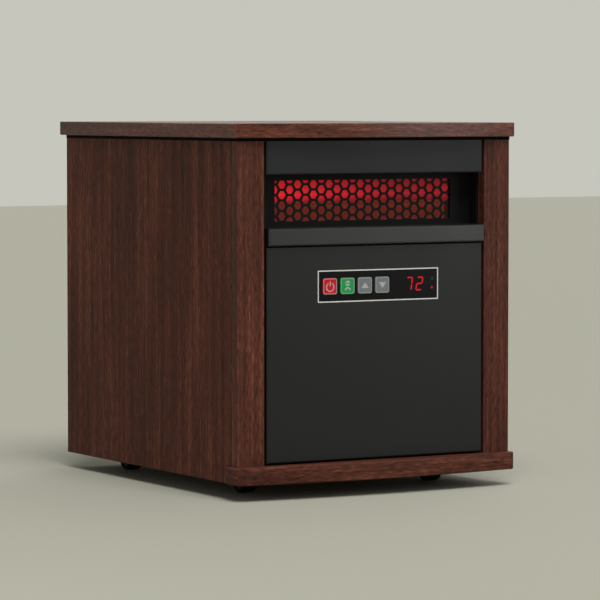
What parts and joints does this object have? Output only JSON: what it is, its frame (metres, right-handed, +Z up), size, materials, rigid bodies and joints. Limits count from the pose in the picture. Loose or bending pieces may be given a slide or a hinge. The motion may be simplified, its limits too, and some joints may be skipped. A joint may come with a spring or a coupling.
{
  "type": "cabinet space heater",
  "caption": "Portable cabinet heater on swivel casters: veneered cabinet, hexagonal outlet grille with glow lens, ceramic core, fan, push buttons and pull-off intake cover.",
  "frame": {"origin": "on the floor, under the middle of the overall footprint", "axes": "+Z up; the front with the grille and controls faces -Y; +X to the right as seen from the front"},
  "size_m": [0.344, 0.424, 0.3915],
  "materials": {
    "veneer": "dark reddish walnut veneer, satin lacquer",
    "board_core": "plain board, unfinished",
    "satin_black_abs": "moulded, satin black",
    "printed_window": "printed sheet, black with a pale border",
    "display": "two-digit display block",
    "circuit_board": "fibreglass board, green mask",
    "button_cap": "moulded, satin black with printed signs",
    "black_grille": "perforated steel sheet, matt black",
    "white_plastic": "moulded, white",
    "red_lens": "translucent red sheet",
    "galvanised_sheet": "galvanised sheet",
    "ceramic": "fired ceramic, unglazed",
    "fin_aluminium": "bare corrugated strip",
    "black_nylon": "moulded, black",
    "motor_can": "black lacquered can",
    "shaft_steel": "ground steel",
    "back_black": "moulded, fine texture",
    "rubber": "moulded rubber",
    "filter_mesh": "woven nylon mesh",
    "zinc_steel": "bright zinc plate",
    "caster_nylon": "moulded nylon, black"
  },
  "bodies": {
    "cabinet": {"back_battens": "board_core", "back_panel": "back_black", "base_rail": "veneer", "board_standoffs": "black_nylon", "bottom_board": "board_core", "caster_plates": "zinc_steel", "ceramic_bars": "ceramic", "control_board": "circuit_board", "control_window": "printed_window", "cord_bushing": "rubber", "core_fins": "fin_aluminium", "core_frame": "ceramic", "display_module": "display", "fan_bulkhead": "galvanised_sheet", "fan_motor": "motor_can", "fan_shroud": "black_nylon", "glow_lens": "red_lens", "heat_duct": "galvanised_sheet", "hex_grille": "black_grille", "led_strip": "circuit_board", "left_side_panel": "veneer", "left_stile": "veneer", "light_box": "white_plastic", "lower_panel": "satin_black_abs", "mid_bar": "satin_black_abs", "outlet_surround": "satin_black_abs", "power_board": "circuit_board", "rear_rail": "board_core", "right_side_panel": "veneer", "right_stile": "veneer", "room_sensor": "white_plastic", "terminal_block": "white_plastic", "thermal_cutoff": "galvanised_sheet", "tip_over_switch": "black_nylon", "top_board": "veneer", "upper_fascia": "satin_black_abs"},
    "power_button": {"power_button": "button_cap"},
    "mode_button": {"mode_button": "button_cap"},
    "up_button": {"up_button": "button_cap"},
    "down_button": {"down_button": "button_cap"},
    "fan": {"fan_rotor": "black_nylon", "motor_shaft": "shaft_steel"},
    "intake_cover": {"intake_cover": "back_black", "filter_mesh": "filter_mesh"},
    "caster_front_left": {"caster_fork_front_left": "zinc_steel"},
    "wheel_front_left": {"caster_wheel_front_left": "caster_nylon"},
    "caster_front_right": {"caster_fork_front_right": "zinc_steel"},
    "wheel_front_right": {"caster_wheel_front_right": "caster_nylon"},
    "caster_rear_left": {"caster_fork_rear_left": "zinc_steel"},
    "wheel_rear_left": {"caster_wheel_rear_left": "caster_nylon"},
    "caster_rear_right": {"caster_fork_rear_right": "zinc_steel"},
    "wheel_rear_right": {"caster_wheel_rear_right": "caster_nylon"}
  },
  "joints": [
    {"name": "power_button_press", "type": "slide", "parent": "cabinet", "child": "power_button", "axis": [0, 1, 0], "range_m": [0, 0.0007], "stiffness_N_per_m": 600},
    {"name": "mode_button_press", "type": "slide", "parent": "cabinet", "child": "mode_button", "axis": [0, 1, 0], "range_m": [0, 0.0007], "stiffness_N_per_m": 600},
    {"name": "up_button_press", "type": "slide", "parent": "cabinet", "child": "up_button", "axis": [0, 1, 0], "range_m": [0, 0.0007], "stiffness_N_per_m": 600},
    {"name": "down_button_press", "type": "slide", "parent": "cabinet", "child": "down_button", "axis": [0, 1, 0], "range_m": [0, 0.0007], "stiffness_N_per_m": 600},
    {"name": "fan_spin", "type": "hinge", "parent": "cabinet", "child": "fan", "pos_m": [0, 0.0918, 0.2126], "axis": [0, 1, 0], "continuous": true},
    {"name": "cover_pull", "type": "slide", "parent": "cabinet", "child": "intake_cover", "axis": [0, 1, 0], "range_m": [0, 0.02]},
    {"name": "swivel_front_left", "type": "hinge", "parent": "cabinet", "child": "caster_front_left", "pos_m": [-0.116, -0.1245, 0.0283], "axis": [0, 0, 1], "continuous": true},
    {"name": "roll_front_left", "type": "hinge", "parent": "caster_front_left", "child": "wheel_front_left", "pos_m": [-0.116, -0.1145, 0.013], "axis": [1, 0, 0], "continuous": true},
    {"name": "swivel_front_right", "type": "hinge", "parent": "cabinet", "child": "caster_front_right", "pos_m": [0.116, -0.1245, 0.0283], "axis": [0, 0, 1], "continuous": true},
    {"name": "roll_front_right", "type": "hinge", "parent": "caster_front_right", "child": "wheel_front_right", "pos_m": [0.116, -0.1145, 0.013], "axis": [1, 0, 0], "continuous": true},
    {"name": "swivel_rear_left", "type": "hinge", "parent": "cabinet", "child": "caster_rear_left", "pos_m": [-0.116, 0.1375, 0.0283], "axis": [0, 0, 1], "continuous": true},
    {"name": "roll_rear_left", "type": "hinge", "parent": "caster_rear_left", "child": "wheel_rear_left", "pos_m": [-0.116, 0.1475, 0.013], "axis": [1, 0, 0], "continuous": true},
    {"name": "swivel_rear_right", "type": "hinge", "parent": "cabinet", "child": "caster_rear_right", "pos_m": [0.116, 0.1375, 0.0283], "axis": [0, 0, 1], "continuous": true},
    {"name": "roll_rear_right", "type": "hinge", "parent": "caster_rear_right", "child": "wheel_rear_right", "pos_m": [0.116, 0.1475, 0.013], "axis": [1, 0, 0], "continuous": true}
  ]
}
